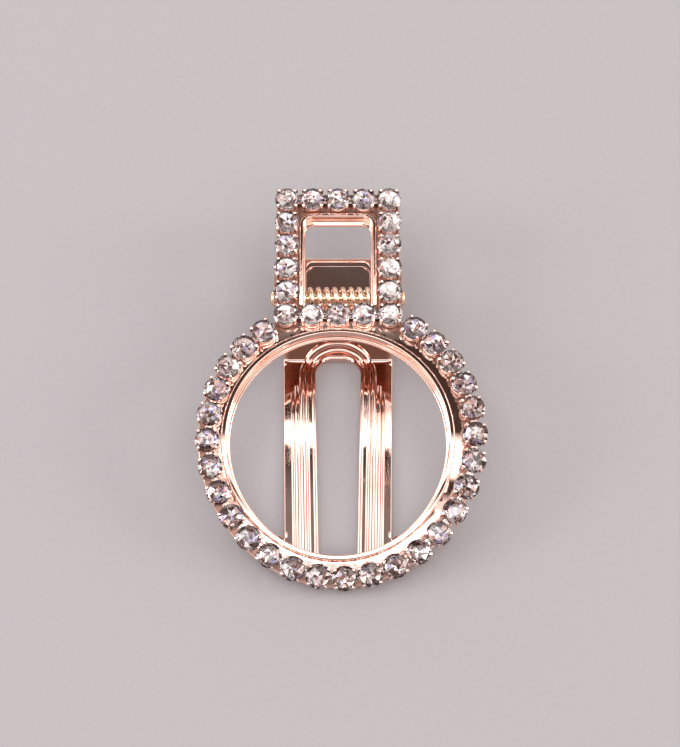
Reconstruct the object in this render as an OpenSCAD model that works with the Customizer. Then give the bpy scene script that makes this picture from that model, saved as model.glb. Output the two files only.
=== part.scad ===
/* [Ring] */
// Radius of the ring's rim, to the middle of its bead
rim_r = 14.8; // [13:0.1:17]
// Outer radius of the ring's flat border
ring_r = 18.2; // [17:0.1:21]
// How far the ring's turned-in lip reaches inside the rim's inner face
lip_w = 0.4; // [0.2:0.05:0.8]
// Radius of the arch of the upper sheet, seen from the side
arch_r = 90; // [70:5:200]
// Slope of the arch over the middle of the ring, in degrees
arch_slope = 12.5; // [9:0.5:13]
// Height of the border's upper face over the middle of the ring
arch_z = 7.1; // [7:0.1:8]

/* [Lever] */
// Half width of the lever's border
lever_half = 8.4; // [8:0.1:9]
// Half width of the lever's window
window_half = 4.6; // [4:0.05:4.6]
// Length of the straight row of cups from the junction row to the end row
lever_rows = 17.3; // [17:0.1:18.5]
// Distance from the middle of the ring to the junction row
junction_y = 16.85; // [16.85:0.05:17.4]

/* [Sheet] */
// Thickness of the sheet of both jaws
sheet = 0.6; // [0.5:0.05:0.8]
// Width of the raised rim round the ring and the window
rim_w = 0.6; // [0.4:0.05:0.7]
// Height of the raised rim over the border
rim_up = 0.4; // [0.2:0.05:0.6]
// Depth of the rim's wall under the border's upper face
rim_down = 1.3; // [1:0.1:1.5]

/* [Stones] */
// Radius of the circle on which the ring's stones sit
row_r = 17.4; // [17.3:0.02:18]
// Sideways shift of that circle from the middle of the rim
row_shift = 0.45; // [0:0.05:0.6]
// Number of stones on the ring's open arc
ring_count = 27; // [24:1:27]
// Outer radius of a stone's cup
cup_r = 1.62; // [1.4:0.01:1.65]
// Radius of a stone's girdle
stone_r = 1.58; // [1.3:0.01:1.6]

/* [Lower jaw] */
// Half width of the jaw plate at the bend
jaw_half = 7.4; // [7:0.1:7.6]
// Half width of the jaw plate at its tip
jaw_tip_half = 7.0; // [6.5:0.1:7.4]
// Half width of the slot at the bend
slot_half = 3.1; // [2.6:0.05:3.3]
// Half width of the slot at the tip
slot_tip_half = 2.55; // [2.2:0.05:3]
// Height of the raised ribs over the plate
rib_up = 0.22; // [0.1:0.01:0.3]
// Height of the thumb plate's underside over the table
thumb_z = 3.4; // [3:0.1:3.5]

/* [Pivot] */
// Radius of the hinge pin
pin_r = 0.7; // [0.5:0.05:0.7]
// Radial play of the pin in the ears
pin_play = 0.06; // [0.03:0.01:0.1]
// Distance from the middle of the ring to the pin
pin_from_ring = 21.4; // [21:0.1:22]
// Height of the pin over the table
pin_z = 6.25; // [6:0.05:6.3]
// Radius of the spring's coil, to the middle of the wire
coil_r = 1.2; // [1.15:0.05:1.3]
// Radius of the spring's wire
wire_r = 0.38; // [0.3:0.02:0.4]
// Turns of the spring
coil_turns = 10.5; // [8.5:1:11.5]

/* [Hidden] */

rose_gold = "#d99e86";
crystal = "#e6e2ea";

// The origin lies on the table under the middle of the clip; the tip points to -Y
ring_y = -8.2;
pin_y = ring_y + pin_from_ring;
row_y = ring_y + junction_y;
end_row_y = row_y + lever_rows;
lever_end_y = end_row_y + 1.4;
lever_front_y = row_y - 2;
lever_corner = 1;

// Side view of the arch: a circle up to the junction, then a straight lever
arch_y = ring_y + arch_r * sin(arch_slope);
arch_centre_z = arch_z - arch_r * cos(arch_slope);
arch_start_y = ring_y - 20;
arch_end_y = ring_y + 16;
lever_slope = asin((arch_y - arch_end_y) / arch_r);

// Rims
rim_in = rim_r - rim_w / 2;
rim_out = rim_r + rim_w / 2;
lip_t = 0.4;
window_front_y = row_y + 1.2;
window_rim_y = row_y + cup_r + 0.1;
window_back_y = end_row_y - cup_r - 0.1 - rim_w;
window_corner = 1.3;
window_lip_side = 0.15;
window_lip_end = 0.6;

// Rows of stones; the ring's row is open where the lever's junction row closes it
row_first = 33.6;
row_last = 323.9;
row_step = (row_last - row_first) / (ring_count - 1);
row_back = 0.3;
lever_columns = 5;
lever_lines = 6;
column_half = 6.9;
column_step = 2 * column_half / (lever_columns - 1);
line_step = lever_rows / (lever_lines - 1);

// A cup and its stone, in heights over the border
seat_gap = 0.06;
cup_floor = 0.25;
cup_h = 0.9;
cup_wall = 0.2;
prong_in = stone_r + 0.12;
prong_w = 0.45;
prong_t = 0.24;
prong_hook = 0.3;
prong_h = 1.5;
girdle_z = 1.02;
girdle_h = 0.1;
crown_h = 0.48;
table_r = 0.86;
culet_z = 0.36;
facets = 8;

// Lower jaw: plate on the table, a bend up, a slope, a bend back, the thumb plate
bend_y = ring_y + 14.3;
bend_angle = 45;
bend_low_r = 1.6;
bend_high_r = 1.0;
bend_rise = (bend_low_r + bend_high_r) * (1 - cos(bend_angle));
slope_len = (thumb_z - bend_rise) / sin(bend_angle);
thumb_start_y = bend_y + (bend_low_r + bend_high_r) * sin(bend_angle) + slope_len * cos(bend_angle);
thumb_end_y = ring_y + 28.9;
thumb_half = 6.4;
thumb_corner = 1.5;
panel_half = 4.45;
panel_end_y = thumb_end_y - 1.3;
panel_up = 0.2;
panel_corner = 1.2;
slot_end_y = ring_y + 14.8;
slot_tip_y = ring_y - 14.9;
slot_corner = 2.2;
tip_in_r = 13.2;
tip_out_r = 16.4;
tip_angle = 36;
tip_back_y = ring_y - 12;
tip_front_y = ring_y - 14;
rib_tip_y = ring_y - 13.6;

// Ribs beside the slot: each row is a band's inner and outer distance from the slot and its height
rib_rows = [
    // in, out, height
    [0.0, 0.5, rib_up],
    [1.05, 3.35, rib_up],
    [1.5, 2.8, 2 * rib_up]
];

// Ears and pin
jaw_ear_out = jaw_half;
top_ear_out = 8.6;
ear_t = 0.6;
jaw_ear_r = 1.5;
top_ear_r = 1.7;
top_ear_half = 2.6;
jaw_ear_half = 2.2;
jaw_ear_foot = 1.3;
pin_head_r = 1.0;
pin_head_x = top_ear_out + 0.08;
pin_head_l = 0.5;

// Spring
coil_pitch = 1.1;
coil_half = coil_turns * coil_pitch / 2;
leg_tilt = 5;
leg_len = 5.2;
leg_top_tilt = 9;
leg_gap = 0.12;
wire_sides = 6;
turn_steps = 14;

// Reach of the cutting shapes, past the whole clip
wide = 60;
tall = 30;
back_y = 40;

// Height of the border's upper face at y, and its slope there
function top_z(y) = y < arch_end_y
    ? arch_centre_z + sqrt(pow(arch_r, 2) - pow(y - arch_y, 2))
    : top_z(arch_end_y - 0.001) + (y - arch_end_y) * tan(lever_slope);
function top_slope(y) = y < arch_end_y ? asin((arch_y - y) / arch_r) : lever_slope;

// The upper face of the upper sheet, and the underside of the lower sheet, from the tip back
arch_steps = 32;
top_path = [
    for (i = [0 : arch_steps])
        let (y = arch_start_y + (arch_end_y - arch_start_y) * i / arch_steps)
            [y, top_z(y), top_slope(y)],
    [back_y, top_z(back_y), lever_slope]
];

bend_steps = 8;
jaw_path = [
    [arch_start_y, 0, 0],
    for (i = [0 : bend_steps])
        let (a = bend_angle * i / bend_steps)
            [bend_y + bend_low_r * sin(a), bend_low_r * (1 - cos(a)), a],
    for (i = [bend_steps : -1 : 0])
        let (a = bend_angle * i / bend_steps)
            [thumb_start_y - bend_high_r * sin(a), thumb_z - bend_high_r * (1 - cos(a)), a],
    [back_y, thumb_z, 0]
];

// Draws a side view, given in Y and Z, through the whole width
module through_width(w = wide) {
    rotate([90, 0, 90])
        linear_extrude(w, center = true)
            children();
}

// A bent sheet's side view is a path of places [y, z, slope]. A layer of the sheet lies between
// two heights over that path, each measured square to the path.
function beside(place, height) =
    [place[0] - height * sin(place[2]), place[1] + height * cos(place[2])];

module layer_side(path, low, high) {
    last = len(path) - 1;
    polygon(concat(
        [for (place = path) beside(place, low)],
        [for (i = [last : -1 : 0]) beside(path[i], high)]
    ));
}

// A flat shape's part of the upper sheet between two heights
module top_layer(low, high) {
    intersection() {
        through_width()
            layer_side(top_path, low, high);
        linear_extrude(tall)
            children();
    }
}

module ring_disc(r) {
    translate([0, ring_y])
        circle(r, $fn = 180);
}

// A rectangle from y0 to y1, rounded at its corners
module rounded_plate(half, y0, y1, r) {
    translate([-half + r, y0])
        square([2 * (half - r), y1 - y0]);
    translate([-half, y0 + r])
        square([2 * half, y1 - y0 - 2 * r]);
    for (x = [-half + r, half - r])
        for (y = [y0 + r, y1 - r])
            translate([x, y])
                circle(r, $fn = 48);
}

// The window, rounded at its back end; its front end lies under the junction row
module window_shape(grow, back_y = window_back_y) {
    half = window_half + grow;
    r = window_corner + max(grow, 0);
    end_y = back_y + max(grow, 0);
    rounded_plate(half, window_front_y + r, end_y, r);
    translate([-half, window_front_y])
        square([2 * half, 3 * r]);
}

// The window's opening at its lip, which reaches further in at its back end
module window_lip_shape() {
    window_shape(-window_lip_side, window_back_y - window_lip_end);
}

// The window's rim ends at the cups of the junction row
module window_rim_shape() {
    intersection() {
        window_shape(rim_w);
        translate([-wide / 2, window_rim_y])
            square([wide, back_y]);
    }
}

module border_shape() {
    difference() {
        union() {
            ring_disc(ring_r);
            rounded_plate(lever_half, lever_front_y, lever_end_y, lever_corner);
            translate([-top_ear_out, pin_y - top_ear_half])
                square([2 * top_ear_out, 2 * top_ear_half]);
        }
        ring_disc(rim_r);
        window_shape(rim_w / 2);
    }
}

// Bead, wall and turned-in lip round an opening: the first child is the bead's outer shape,
// the second the wall's inner shape, the third the lip's inner shape
module rim() {
    difference() {
        top_layer(-rim_down, rim_up)
            difference() {
                children(0);
                children(2);
            }
        top_layer(-rim_down + lip_t, rim_up + 1)
            children(1);
    }
}

// Side view of an ear of the upper sheet, down to the pin
module top_ear_side() {
    ear_top = top_z(pin_y) - sheet / 2;
    polygon([
        [pin_y - top_ear_half, ear_top],
        [pin_y + top_ear_half, ear_top],
        [pin_y + top_ear_r, pin_z],
        [pin_y - top_ear_r, pin_z]
    ]);
    translate([pin_y, pin_z])
        circle(top_ear_r, $fn = 48);
}

module pin_bore(l) {
    translate([0, pin_y, pin_z])
        rotate([0, 90, 0])
            cylinder(h = l, r = pin_r + pin_play, center = true, $fn = 48);
}

module top_ears() {
    for (side = [-1, 1])
        translate([side * (top_ear_out - ear_t / 2), 0, 0])
            through_width(ear_t)
                top_ear_side();
}

module top_frame() {
    color(rose_gold)
        difference() {
            union() {
                top_layer(-sheet, 0)
                    border_shape();
                rim() {
                    ring_disc(rim_out);
                    ring_disc(rim_in);
                    ring_disc(rim_in - lip_w);
                }
                rim() {
                    window_rim_shape();
                    window_shape(0);
                    window_lip_shape();
                }
                top_ears();
            }
            pin_bore(wide);
        }
}

// Places a cup or a stone on the upper sheet, with its prongs square to the row
module seat(x, y, turn = 0) {
    translate([x, y, top_z(y)])
        rotate([top_slope(y), 0, 0])
            translate([0, 0, seat_gap])
                rotate(turn)
                    children();
}

module on_ring() {
    for (i = [0 : ring_count - 1])
        let (a = row_first + i * row_step)
            seat(row_shift + row_r * sin(a), ring_y + row_back + row_r * cos(a), -a)
                children();
}

module on_lever() {
    for (i = [0 : lever_columns - 1])
        for (j = [0 : lever_lines - 1])
            if (i == 0 || i == lever_columns - 1 || j == 0 || j == lever_lines - 1)
                seat(-column_half + i * column_step, row_y + j * line_step)
                    children();
}

// A prong seen from the side: upright, with its tip bent in over the stone
module prong() {
    rotate([90, 0, 0])
        linear_extrude(prong_w, center = true)
            polygon([
                [cup_r - cup_wall / 2, cup_floor / 2],
                [prong_in + prong_t, cup_floor / 2],
                [prong_in + prong_t, prong_h - 0.08],
                [prong_in - prong_hook, prong_h + 0.08],
                [prong_in - prong_hook, prong_h - 0.12],
                [prong_in, prong_h - 0.28],
                [prong_in, cup_h],
                [cup_r - cup_wall / 2, cup_h - 0.1]
            ]);
}

module cup() {
    rotate_extrude($fn = 32)
        polygon([
            [0, 0], [cup_r, 0], [cup_r, cup_h], [cup_r - cup_wall, cup_h],
            [cup_r - cup_wall, cup_floor], [0, cup_floor]
        ]);
    for (a = [45 : 90 : 315])
        rotate(a)
            prong();
}

// A cut stone: a table, a crown of 24 facets, a thin girdle and a pointed pavilion
function ring_points(count, r, z, first = 0) = [
    for (i = [0 : count - 1])
        let (a = first + 360 * i / count)
            [r * cos(a), r * sin(a), z]
];

module stone() {
    rims = 2 * facets;
    top_g = facets;
    low_g = facets + rims;
    culet = low_g + rims;
    points = concat(
        ring_points(facets, table_r, girdle_z + girdle_h + crown_h),
        ring_points(rims, stone_r, girdle_z + girdle_h),
        ring_points(rims, stone_r, girdle_z),
        [[0, 0, culet_z]]
    );
    faces = concat(
        [[for (i = [facets - 1 : -1 : 0]) i]],
        [for (i = [0 : facets - 1]) [i, top_g + 2 * i + 1, top_g + 2 * i]],
        [for (i = [0 : facets - 1]) [i, (i + 1) % facets, top_g + 2 * i + 1]],
        [for (i = [0 : facets - 1]) [(i + 1) % facets, top_g + (2 * i + 2) % rims, top_g + 2 * i + 1]],
        [for (i = [0 : rims - 1]) [top_g + i, top_g + (i + 1) % rims, low_g + (i + 1) % rims, low_g + i]],
        [for (i = [0 : rims - 1]) [low_g + i, low_g + (i + 1) % rims, culet]]
    );
    polyhedron(points, faces);
}

module ring_setting() {
    color(rose_gold)
        on_ring()
            cup();
}

module ring_stones() {
    color(crystal)
        on_ring()
            stone();
}

module lever_setting() {
    color(rose_gold)
        on_lever()
            cup();
}

module lever_stones() {
    color(crystal)
        on_lever()
            stone();
}

// A pie slice of a flat ring, from one angle to another
module ring_slice(r0, r1, a0, a1) {
    reach = 2 * r1;
    intersection() {
        difference() {
            circle(r1, $fn = 96);
            circle(r0, $fn = 96);
        }
        polygon([
            [0, 0],
            [reach * cos(a0), reach * sin(a0)],
            [reach * cos((a0 + a1) / 2), reach * sin((a0 + a1) / 2)],
            [reach * cos(a1), reach * sin(a1)]
        ]);
    }
}

module jaw_layer(low, high) {
    intersection() {
        through_width()
            layer_side(jaw_path, low, high);
        translate([0, 0, -1])
            linear_extrude(tall)
                children();
    }
}

// The slot, grown on all sides, with a straight end rounded at its corners
module slot_shape(grow, tip_y) {
    half = slot_half + grow;
    tip_half = slot_tip_half + grow;
    r = slot_corner + grow;
    end_y = slot_end_y + grow;
    polygon([
        [-tip_half, tip_y],
        [tip_half, tip_y],
        [half, end_y - r],
        [-half, end_y - r]
    ]);
    translate([-half + r, end_y - r])
        square([2 * (half - r), r]);
    for (x = [-half + r, half - r])
        translate([x, end_y - r])
            circle(r, $fn = 64);
}

module jaw_outline() {
    polygon([
        [-jaw_tip_half, tip_back_y],
        [jaw_tip_half, tip_back_y],
        [jaw_half, bend_y],
        [jaw_half, pin_y + jaw_ear_half],
        [-jaw_half, pin_y + jaw_ear_half],
        [-jaw_half, bend_y]
    ]);
    rounded_plate(thumb_half, pin_y, thumb_end_y, thumb_corner);
    translate([0, ring_y])
        ring_slice(tip_in_r, tip_out_r, -90 - tip_angle, -90 + tip_angle);
    translate([-jaw_tip_half, tip_front_y])
        square([2 * jaw_tip_half, 2 * (tip_back_y - tip_front_y)]);
}

module jaw_ear_side() {
    polygon([
        [pin_y - jaw_ear_half, thumb_z + sheet / 2],
        [pin_y + jaw_ear_half, thumb_z + sheet / 2],
        [pin_y + jaw_ear_half, thumb_z + jaw_ear_foot],
        [pin_y + jaw_ear_r, pin_z],
        [pin_y - jaw_ear_r, pin_z],
        [pin_y - jaw_ear_half, thumb_z + jaw_ear_foot]
    ]);
    translate([pin_y, pin_z])
        circle(jaw_ear_r, $fn = 48);
}

module jaw_ears() {
    for (side = [-1, 1])
        translate([side * (jaw_ear_out - ear_t / 2), 0, 0])
            through_width(ear_t)
                jaw_ear_side();
}

module ribs() {
    for (row = rib_rows)
        jaw_layer(sheet / 2, sheet + row[2])
            difference() {
                slot_shape(row[1], rib_tip_y);
                slot_shape(row[0], rib_tip_y - 1);
            }
}

module lower_jaw() {
    color(rose_gold)
        difference() {
            union() {
                jaw_layer(0, sheet)
                    difference() {
                        jaw_outline();
                        slot_shape(0, slot_tip_y);
                    }
                ribs();
                jaw_layer(sheet / 2, sheet + panel_up)
                    rounded_plate(panel_half, pin_y, panel_end_y, panel_corner);
                jaw_ears();
            }
            pin_bore(wide);
        }
}

module pin() {
    color(rose_gold)
        translate([0, pin_y, pin_z])
            rotate([0, 90, 0]) {
                cylinder(h = 2 * pin_head_x + pin_head_l, r = pin_r, center = true, $fn = 48);
                for (side = [-1, 1])
                    intersection() {
                        translate([0, 0, side * (pin_head_x + pin_head_l / 2)])
                            cylinder(h = pin_head_l, r = pin_head_r, center = true, $fn = 48);
                        translate([0, 0, side * (pin_head_x - pin_head_r / 2)])
                            sphere(r = pin_head_r + 0.05, $fn = 48);
                    }
            }
}

// A wire round the X axis: each place is a position along X, an angle round the axis
// and a distance along the tangent there, which is 0 on the coil itself
function wire_ring(place) =
    let (a = place[1], s = place[2])
    let (mid = [place[0], coil_r * cos(a) - s * sin(a), coil_r * sin(a) + s * cos(a)])
        [
            for (k = [0 : wire_sides - 1])
                let (b = 360 * k / wire_sides)
                    mid + [wire_r * sin(b), wire_r * cos(b) * cos(a), wire_r * cos(b) * sin(a)]
        ];

module wire(places) {
    last = len(places) - 1;
    points = [for (place = places) each wire_ring(place)];
    sides = [
        for (i = [0 : last - 1])
            for (k = [0 : wire_sides - 1])
                let (a = i * wire_sides, next = (k + 1) % wire_sides)
                    each [
                        [a + k, a + next, a + wire_sides + k],
                        [a + next, a + wire_sides + next, a + wire_sides + k]
                    ]
    ];
    ends = [
        [for (k = [wire_sides - 1 : -1 : 0]) k],
        [for (k = [0 : wire_sides - 1]) last * wire_sides + k]
    ];
    translate([0, pin_y, pin_z])
        polyhedron(points, concat(sides, ends));
}

module spring_coil() {
    steps = floor(coil_turns * turn_steps);
    end_angle = 90 + 360 * coil_turns - leg_tilt;
    coil = [
        for (i = [0 : steps])
            [-coil_half + 2 * coil_half * i / steps, 90 + (end_angle - 90) * i / steps, 0]
    ];
    color(rose_gold)
        wire(concat(coil, [[coil_half, end_angle, leg_len]]));
}

module spring_leg() {
    color(rose_gold)
        wire([
            [-coil_half, 90 + leg_top_tilt, -leg_len],
            [-coil_half, 90 + leg_top_tilt, -leg_gap - 0.3]
        ]);
}

top_frame();
ring_setting();
ring_stones();
lever_setting();
lever_stones();
lower_jaw();
pin();
spring_coil();
spring_leg();
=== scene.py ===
"""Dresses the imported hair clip: polished rose-gold sheet, cut stones in cups, a pin and its spring.

The classes follow the clip's own sub-assemblies. Sizes in the classes are millimetres, and a mesh is brought
to metres when it is built. The tip of the ring points to -Y, the lever to +Y, and the table is at Z = 0.
"""

from __future__ import annotations

import logging
import math
import random
from abc import ABC, abstractmethod
from collections.abc import Callable, Iterable, Mapping, Sequence
from dataclasses import dataclass, field, replace
from enum import Enum
from typing import Any

import bmesh
import bpy
from mathutils import Matrix, Vector
from mathutils.geometry import delaunay_2d_cdt

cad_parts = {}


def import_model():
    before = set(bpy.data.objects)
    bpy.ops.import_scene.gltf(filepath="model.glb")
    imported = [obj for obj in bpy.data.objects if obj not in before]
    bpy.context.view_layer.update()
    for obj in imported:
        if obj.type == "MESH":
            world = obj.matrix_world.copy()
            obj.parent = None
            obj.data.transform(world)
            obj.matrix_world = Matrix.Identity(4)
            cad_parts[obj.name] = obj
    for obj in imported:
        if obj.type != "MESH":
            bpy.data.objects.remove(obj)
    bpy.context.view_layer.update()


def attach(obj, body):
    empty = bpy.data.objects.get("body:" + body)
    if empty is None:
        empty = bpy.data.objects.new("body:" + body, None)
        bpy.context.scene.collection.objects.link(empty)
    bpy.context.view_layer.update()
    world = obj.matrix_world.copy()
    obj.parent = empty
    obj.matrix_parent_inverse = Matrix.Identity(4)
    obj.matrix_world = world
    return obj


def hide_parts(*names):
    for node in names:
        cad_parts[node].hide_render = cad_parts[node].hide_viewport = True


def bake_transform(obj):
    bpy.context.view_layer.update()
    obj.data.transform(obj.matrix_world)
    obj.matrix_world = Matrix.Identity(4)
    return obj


LOG = logging.getLogger("hair_clip")

MM = 0.001

# What several pieces share: the ring's centre, the pin's axis, and the ears' bore, thickness and edge.
RING_Y = -8.2
PIN_Y, PIN_Z = 13.2, 6.25
BORE_R, EAR_T, EAR_EDGE = 0.76, 0.6, 0.12

Point2 = tuple[float, float]
Colour = tuple[float, float, float]
FacetLook = tuple[float, float, float, float]
Placing = Callable[[float, float, float], Vector]


class Body(Enum):
    """The two halves of the clip that the hinge joins."""

    LOWER = "lower"
    UPPER = "upper"


class Slot(Enum):
    """The record's names for the clip's finishes."""

    ROSE_GOLD = "rose_gold"
    CUP_METAL = "cup_metal"
    CRYSTAL = "crystal"
    JAW_METAL = "jaw_metal"
    PIN_METAL = "pin_metal"
    SPRING_WIRE = "spring_wire"


class Shading(Enum):
    """How the faces of a piece meet: cut facets, or one smooth skin with sharp folds."""

    FACETED = 0.0
    SMOOTH = 40.0


# Shader maths


@dataclass(frozen=True)
class Signal:
    """A number that changes over a surface. Python's operators on it add Math nodes to its recipe."""

    recipe: Recipe
    socket: bpy.types.NodeSocket

    def __add__(self, other: Signal | float) -> Signal:
        """Add another signal or number."""
        return self.recipe.maths("ADD", self, other)

    def __radd__(self, other: Signal | float) -> Signal:
        """Add this signal to a number."""
        return self.recipe.maths("ADD", other, self)

    def __sub__(self, other: Signal | float) -> Signal:
        """Take another signal or number away."""
        return self.recipe.maths("SUBTRACT", self, other)

    def __rsub__(self, other: Signal | float) -> Signal:
        """Take this signal away from a number."""
        return self.recipe.maths("SUBTRACT", other, self)

    def __mul__(self, other: Signal | float) -> Signal:
        """Multiply by another signal or number."""
        return self.recipe.maths("MULTIPLY", self, other)

    def __rmul__(self, other: Signal | float) -> Signal:
        """Multiply a number by this signal."""
        return self.recipe.maths("MULTIPLY", other, self)

    def __truediv__(self, other: Signal | float) -> Signal:
        """Divide by another signal or number."""
        return self.recipe.maths("DIVIDE", self, other)

    def __rtruediv__(self, other: Signal | float) -> Signal:
        """Divide a number by this signal."""
        return self.recipe.maths("DIVIDE", other, self)

    def clipped(self) -> Signal:
        """Keep the number between 0 and 1."""
        return self.recipe.maths("ADD", self, 0.0, use_clamp=True)

    def ramp(self, foot: float, slope: float) -> Signal:
        """Rise from 0 at the foot to 1, or by a negative slope fall from 1 to 0 at the foot."""
        return ((self - foot) * slope).clipped()

    def spot(self, centre: float, level: float, fall: float) -> Signal:
        """Fall off with the square of the distance from a centre, from a level that is cut off at 1."""
        off = self - centre
        return (level - off * off * fall).clipped()


class Recipe:
    """The node tree of one material or of the world."""

    def __init__(self, tree: bpy.types.NodeTree) -> None:
        """Start with an empty tree.

        Args:
            tree: The node tree to fill.
        """
        self.tree = tree
        tree.nodes.clear()

    def node(
        self,
        kind: str,
        settings: Mapping[str, Any] | None = None,
        inputs: Mapping[str | int, Any] | None = None,
    ) -> bpy.types.Node:
        """Add a node.

        Args:
            kind: The node's type, such as ShaderNodeBump.
            settings: Its own settings, set first. "stops" gives a ramp's places and colours.
            inputs: Values or links for its sockets, by name or number.

        Returns:
            The new node.
        """
        made = self.tree.nodes.new(kind)
        for name, value in (settings or {}).items():
            if name == "stops":
                self._set_stops(made.color_ramp, value)
            else:
                setattr(made, name, value)
        for name, value in (inputs or {}).items():
            socket = made.inputs[name]
            if isinstance(value, Signal):
                self.tree.links.new(value.socket, socket)
            elif isinstance(value, bpy.types.NodeSocket):
                self.tree.links.new(value, socket)
            else:
                socket.default_value = value
        return made

    @staticmethod
    def _set_stops(ramp: bpy.types.ColorRamp, stops: Sequence[tuple[float, Colour]]) -> None:
        """Give a colour ramp its stops.

        Args:
            ramp: The ramp of a new node.
            stops: Each stop's place and colour.
        """
        while len(ramp.elements) < len(stops):
            ramp.elements.new(1.0)
        for element, (place, colour) in zip(ramp.elements, stops):
            element.position = place
            element.color = (*colour, 1.0)

    def maths(
        self, operation: str, first: Signal | float, second: Signal | float, use_clamp: bool = False
    ) -> Signal:
        """Join two numbers by a Math node.

        Args:
            operation: The Math node's operation.
            first: The first number or signal.
            second: The second number or signal.
            use_clamp: Keep the result between 0 and 1.

        Returns:
            The result.
        """
        made = self.node(
            "ShaderNodeMath", {"operation": operation, "use_clamp": use_clamp}, {0: first, 1: second}
        )
        return Signal(self, made.outputs[0])

    def tint(self, mask: Signal, low: Any, high: Any) -> bpy.types.NodeSocket:
        """Mix two colours by a mask.

        Args:
            mask: 0 gives the first colour and 1 the second.
            low: The first colour or its socket.
            high: The second colour or its socket.

        Returns:
            The mixed colour's socket.
        """
        colours = [(*c, 1.0) if isinstance(c, tuple) else c for c in (low, high)]
        made = self.node(
            "ShaderNodeMix", {"data_type": "RGBA"}, {0: mask, 6: colours[0], 7: colours[1]}
        )
        return made.outputs[2]

    def stretched(self, where: bpy.types.NodeSocket, scale: Colour) -> bpy.types.NodeSocket:
        """Scale coordinates along each axis.

        Args:
            where: The coordinates.
            scale: The factor for each axis.

        Returns:
            The scaled coordinates.
        """
        made = self.node("ShaderNodeVectorMath", {"operation": "MULTIPLY"}, {0: where, 1: scale})
        return made.outputs[0]

    def speckle(self, where: bpy.types.NodeSocket, per_mm: float, detail: float) -> Signal:
        """Noise over the object.

        Args:
            where: The coordinates, in metres.
            per_mm: How many grains there are to a millimetre.
            detail: How many finer layers it has.

        Returns:
            The noise, about 0.5 on average.
        """
        made = self.node(
            "ShaderNodeTexNoise", None, {"Vector": where, "Scale": per_mm / MM, "Detail": detail}
        )
        return Signal(self, made.outputs["Fac"])

    def object_place(self) -> bpy.types.NodeSocket:
        """Coordinates that are fixed to the object, in metres."""
        return self.node("ShaderNodeTexCoord").outputs["Object"]

    def bumped(self, height: Signal) -> bpy.types.NodeSocket:
        """Bend the normal by a height in millimetres."""
        made = self.node("ShaderNodeBump", None, {"Height": height, "Distance": MM, "Strength": 1.0})
        return made.outputs[0]

    def dress(self, inputs: Mapping[str | int, Any]) -> None:
        """Send one Principled shader to the material's output.

        Args:
            inputs: Values or links for its sockets, by name.
        """
        shader = self.node("ShaderNodeBsdfPrincipled", None, inputs)
        self.node("ShaderNodeOutputMaterial", None, {"Surface": shader.outputs[0]})


# Finishes


class Finish(ABC):
    """A finish that is made once and shared by its pieces."""

    made: dict[Finish, bpy.types.Material] = {}

    @abstractmethod
    def mix(self, recipe: Recipe) -> None:
        """Fill the finish's node tree."""

    def material(self) -> bpy.types.Material:
        """Give the finish's material, made on first use.

        Returns:
            The material.
        """
        if self not in Finish.made:
            made = bpy.data.materials.new(self.title)
            made.use_nodes = True
            self.mix(Recipe(made.node_tree))
            Finish.made[self] = made
        return Finish.made[self]


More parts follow.
